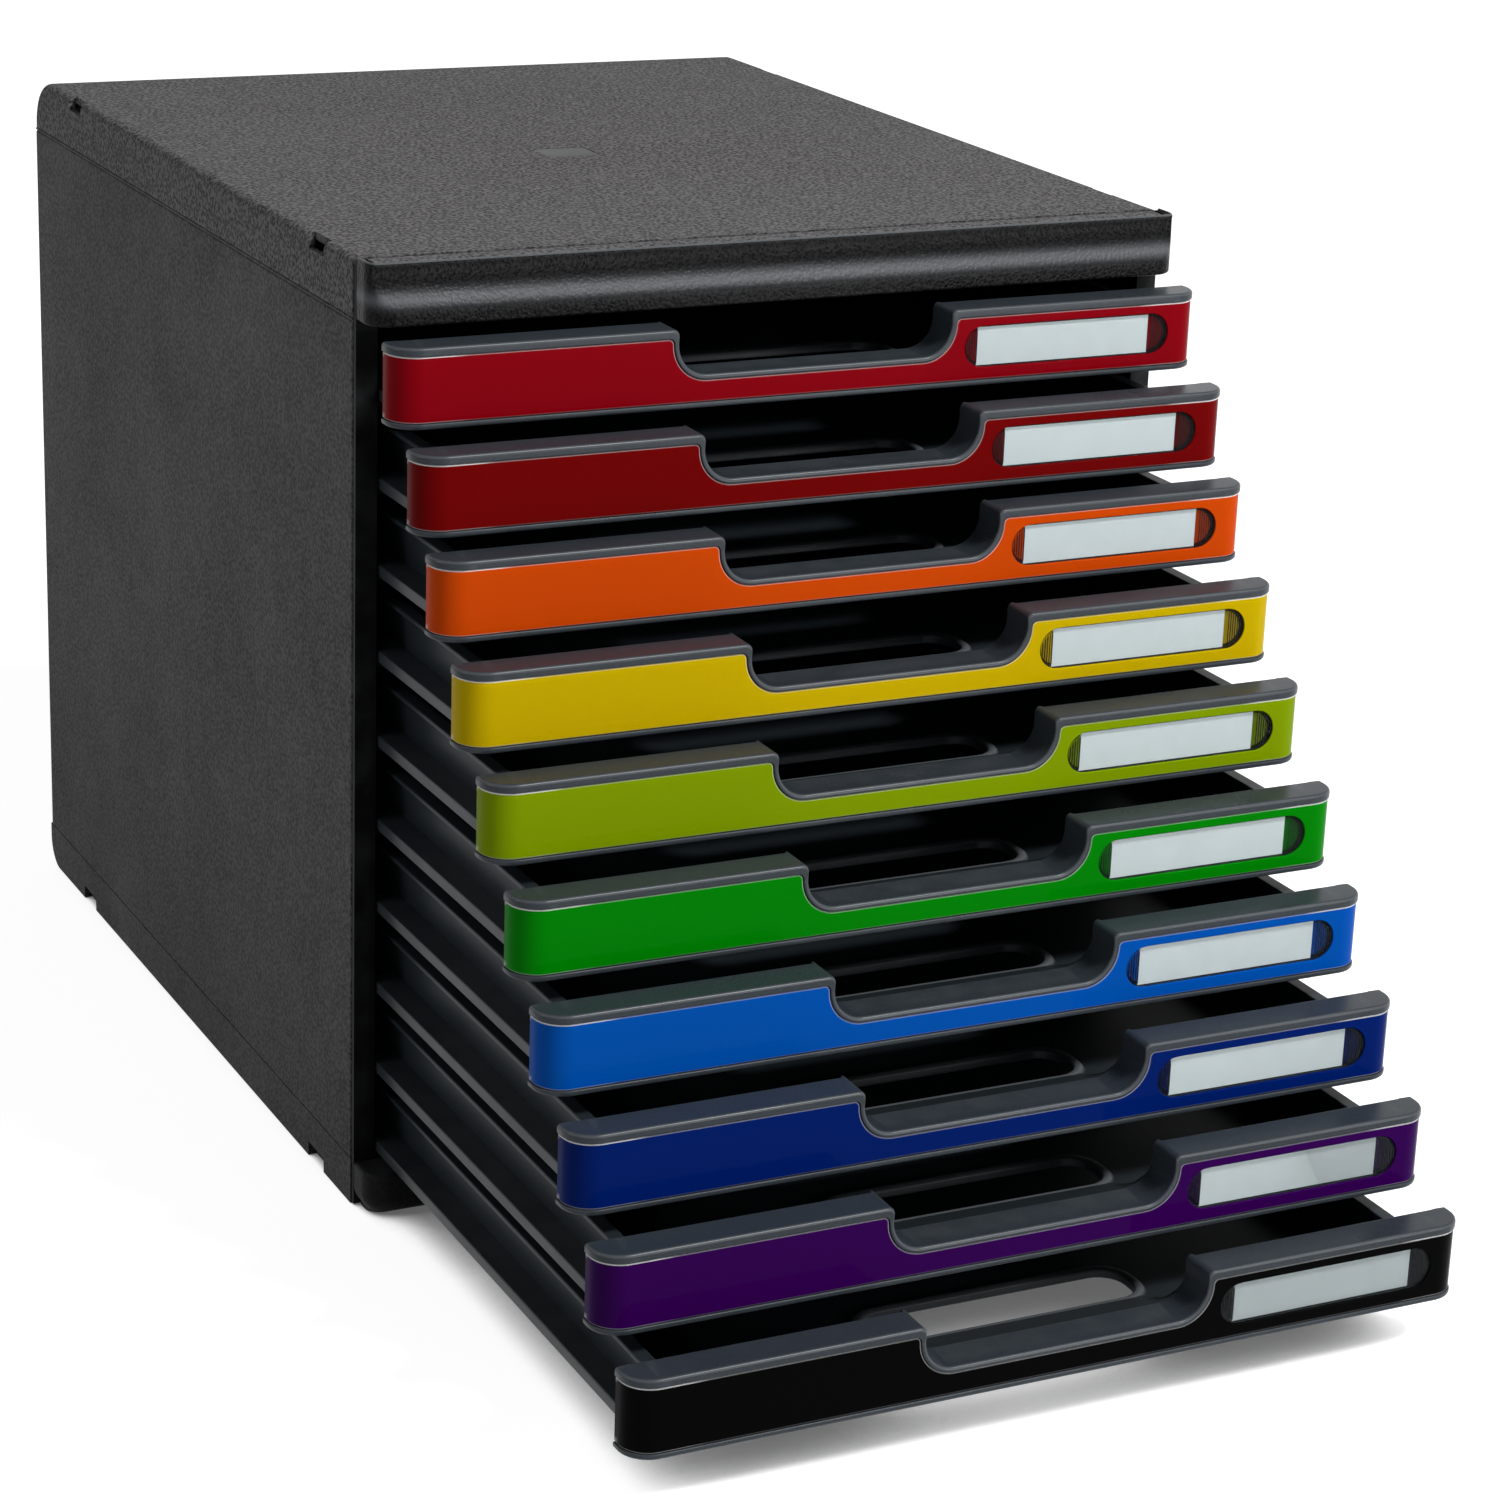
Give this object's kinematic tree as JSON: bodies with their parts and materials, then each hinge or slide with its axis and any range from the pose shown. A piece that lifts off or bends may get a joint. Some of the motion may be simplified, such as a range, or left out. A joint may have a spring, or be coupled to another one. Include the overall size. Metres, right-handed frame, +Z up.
{
  "type": "desktop drawer box",
  "caption": "Black moulded desktop drawer box: shallow trays with glossy rainbow-coloured fronts, clear label windows and finger recesses slide in runner racks.",
  "frame": {"origin": "centre of the case's underside, on the surface it stands on", "axes": "+X to the right seen from the front, the drawers pull out towards -Y, +Z up"},
  "size_m": [0.288, 0.5708, 0.3195],
  "materials": {
    "case_black": "fine matte grain",
    "rack_black": "satin",
    "trim_black": "coarse matte grain",
    "plate_black": "smooth",
    "tray_grey": "satin",
    "window_clear": "clear, ribbed at both ends",
    "card_white": "plain paper",
    "cover_01": "glossy red",
    "cover_02": "glossy dark red",
    "cover_03": "glossy orange",
    "cover_04": "glossy yellow",
    "cover_05": "glossy lime",
    "cover_06": "glossy green",
    "cover_07": "glossy blue",
    "cover_08": "glossy dark blue",
    "cover_09": "glossy purple",
    "cover_10": "glossy black"
  },
  "bodies": {
    "case": {"lid_panel": "case_black", "base_panel": "case_black", "back_panel": "case_black", "side_panel_right": "case_black", "side_panel_left": "case_black", "runner_rack_right": "rack_black", "runner_rack_left": "rack_black", "front_frame": "case_black", "cornice": "trim_black", "base_trim": "trim_black", "lid_plate": "plate_black"},
    "drawer_01": {"drawer_01_tray": "tray_grey", "drawer_01_front_cover": "cover_01", "drawer_01_label_window": "window_clear", "drawer_01_label_card": "card_white"},
    "drawer_02": {"drawer_02_tray": "tray_grey", "drawer_02_front_cover": "cover_02", "drawer_02_label_window": "window_clear", "drawer_02_label_card": "card_white"},
    "drawer_03": {"drawer_03_tray": "tray_grey", "drawer_03_front_cover": "cover_03", "drawer_03_label_window": "window_clear", "drawer_03_label_card": "card_white"},
    "drawer_04": {"drawer_04_tray": "tray_grey", "drawer_04_front_cover": "cover_04", "drawer_04_label_window": "window_clear", "drawer_04_label_card": "card_white"},
    "drawer_05": {"drawer_05_tray": "tray_grey", "drawer_05_front_cover": "cover_05", "drawer_05_label_window": "window_clear", "drawer_05_label_card": "card_white"},
    "drawer_06": {"drawer_06_tray": "tray_grey", "drawer_06_front_cover": "cover_06", "drawer_06_label_window": "window_clear", "drawer_06_label_card": "card_white"},
    "drawer_07": {"drawer_07_tray": "tray_grey", "drawer_07_front_cover": "cover_07", "drawer_07_label_window": "window_clear", "drawer_07_label_card": "card_white"},
    "drawer_08": {"drawer_08_tray": "tray_grey", "drawer_08_front_cover": "cover_08", "drawer_08_label_window": "window_clear", "drawer_08_label_card": "card_white"},
    "drawer_09": {"drawer_09_tray": "tray_grey", "drawer_09_front_cover": "cover_09", "drawer_09_label_window": "window_clear", "drawer_09_label_card": "card_white"},
    "drawer_10": {"drawer_10_tray": "tray_grey", "drawer_10_front_cover": "cover_10", "drawer_10_label_window": "window_clear", "drawer_10_label_card": "card_white"}
  },
  "joints": [
    {"name": "drawer_01_slide", "type": "slide", "parent": "case", "child": "drawer_01", "axis": [0, -1, 0], "range_m": [-0.0173, 0.2327]},
    {"name": "drawer_02_slide", "type": "slide", "parent": "case", "child": "drawer_02", "axis": [0, -1, 0], "range_m": [-0.0384, 0.2116]},
    {"name": "drawer_03_slide", "type": "slide", "parent": "case", "child": "drawer_03", "axis": [0, -1, 0], "range_m": [-0.0547, 0.1953]},
    {"name": "drawer_04_slide", "type": "slide", "parent": "case", "child": "drawer_04", "axis": [0, -1, 0], "range_m": [-0.0761, 0.1739]},
    {"name": "drawer_05_slide", "type": "slide", "parent": "case", "child": "drawer_05", "axis": [0, -1, 0], "range_m": [-0.0969, 0.1531]},
    {"name": "drawer_06_slide", "type": "slide", "parent": "case", "child": "drawer_06", "axis": [0, -1, 0], "range_m": [-0.1196, 0.1304]},
    {"name": "drawer_07_slide", "type": "slide", "parent": "case", "child": "drawer_07", "axis": [0, -1, 0], "range_m": [-0.14, 0.11]},
    {"name": "drawer_08_slide", "type": "slide", "parent": "case", "child": "drawer_08", "axis": [0, -1, 0], "range_m": [-0.1621, 0.0879]},
    {"name": "drawer_09_slide", "type": "slide", "parent": "case", "child": "drawer_09", "axis": [0, -1, 0], "range_m": [-0.1835, 0.0665]},
    {"name": "drawer_10_slide", "type": "slide", "parent": "case", "child": "drawer_10", "axis": [0, -1, 0], "range_m": [-0.2064, 0.0436]}
  ]
}
